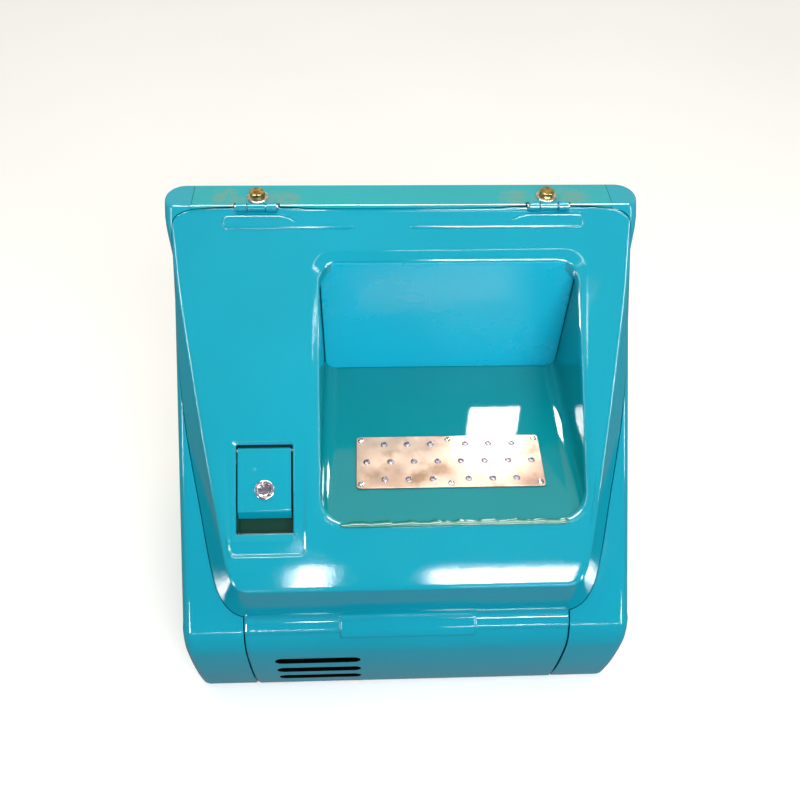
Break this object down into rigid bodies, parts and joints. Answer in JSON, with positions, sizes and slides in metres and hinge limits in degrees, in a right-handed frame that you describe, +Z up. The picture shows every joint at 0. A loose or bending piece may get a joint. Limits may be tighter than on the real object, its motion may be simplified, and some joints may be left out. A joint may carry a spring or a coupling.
{
  "type": "machine tool box with step",
  "caption": "Wedge-shaped painted steel tool box with a top-hinged sloping lid, a step pocket with a tread plate, and a lockable paddle latch.",
  "frame": {"origin": "middle of the floor, on the surface the box stands on", "axes": "+X to the right seen from the front, +Y to the back, +Z up; the sloping lid faces -Y"},
  "size_m": [0.6, 0.4468, 0.549],
  "materials": {
    "paint": "gloss turquoise enamel with light orange peel",
    "yellow_zinc": "yellow passivated zinc plate",
    "bright_steel": "bright zinc plate, lightly worn",
    "chrome": "polished chrome",
    "tread_steel": "bare rolled steel with brown stains",
    "rubber": "matt black"
  },
  "bodies": {
    "case": {"left_cheek": "paint", "right_cheek": "paint", "top_beam": "paint", "back_panel": "paint", "floor_panel": "paint", "sill_rail": "paint", "door_frame": "paint", "door_seal": "rubber", "striker_bracket": "paint", "striker_pin": "bright_steel", "left_hinge_fixed_leaf": "paint", "right_hinge_fixed_leaf": "paint", "left_hinge_bolt": "yellow_zinc", "right_hinge_bolt": "yellow_zinc", "left_hinge_washer": "bright_steel", "right_hinge_washer": "bright_steel", "left_hinge_nut": "yellow_zinc", "right_hinge_nut": "yellow_zinc", "left_hinge_pin": "bright_steel", "right_hinge_pin": "bright_steel", "left_rubber_buffer": "rubber", "right_rubber_buffer": "rubber", "drain_grommet": "rubber", "stay_bracket": "paint", "stay_pin": "bright_steel"},
    "lid": {"lid_skin": "paint", "step_pocket": "paint", "tread_plate": "tread_steel", "tread_rivet_1": "bright_steel", "tread_rivet_2": "bright_steel", "tread_rivet_3": "bright_steel", "tread_rivet_4": "bright_steel", "tread_rivet_5": "bright_steel", "tread_rivet_6": "bright_steel", "sealant_bead": "paint", "lid_brace": "paint", "stay_quadrant": "bright_steel", "left_hinge_moving_leaf": "paint", "right_hinge_moving_leaf": "paint", "left_leaf_nut_1": "bright_steel", "left_leaf_nut_2": "bright_steel", "right_leaf_nut_1": "bright_steel", "right_leaf_nut_2": "bright_steel", "latch_housing": "paint", "paddle_pin": "bright_steel", "hook_pin": "bright_steel", "paddle_spring": "bright_steel"},
    "paddle": {"latch_paddle": "paint", "lock_barrel": "chrome", "lock_nut": "bright_steel"},
    "key": {"key_plug": "chrome", "lock_cam": "bright_steel"},
    "hook": {"latch_hook": "bright_steel"}
  },
  "joints": [
    {"name": "lid_hinge", "type": "hinge", "parent": "case", "child": "lid", "pos_m": [0, 0.17521, 0.539], "axis": [-1, 0, 0], "range_deg": [0, 75]},
    {"name": "paddle_hinge", "type": "hinge", "parent": "lid", "child": "paddle", "pos_m": [-0.1755, -0.06148, 0.34991], "axis": [-1, 0, 0], "range_deg": [0, 40], "stiffness_Nm_per_rad": 0.5},
    {"name": "key_turn", "type": "hinge", "parent": "paddle", "child": "key", "pos_m": [-0.1748, -0.10443, 0.32736], "axis": [0, 0.5878, -0.809], "range_deg": [0, 90]},
    {"name": "hook_pivot", "type": "hinge", "parent": "lid", "child": "hook", "pos_m": [-0.2065, -0.0493, 0.30932], "axis": [1, 0, 0], "range_deg": [0, 30]}
  ],
  "couplings": [
    {"joint": "hook_pivot", "follows": "paddle_hinge", "ratio": 0.75}
  ]
}
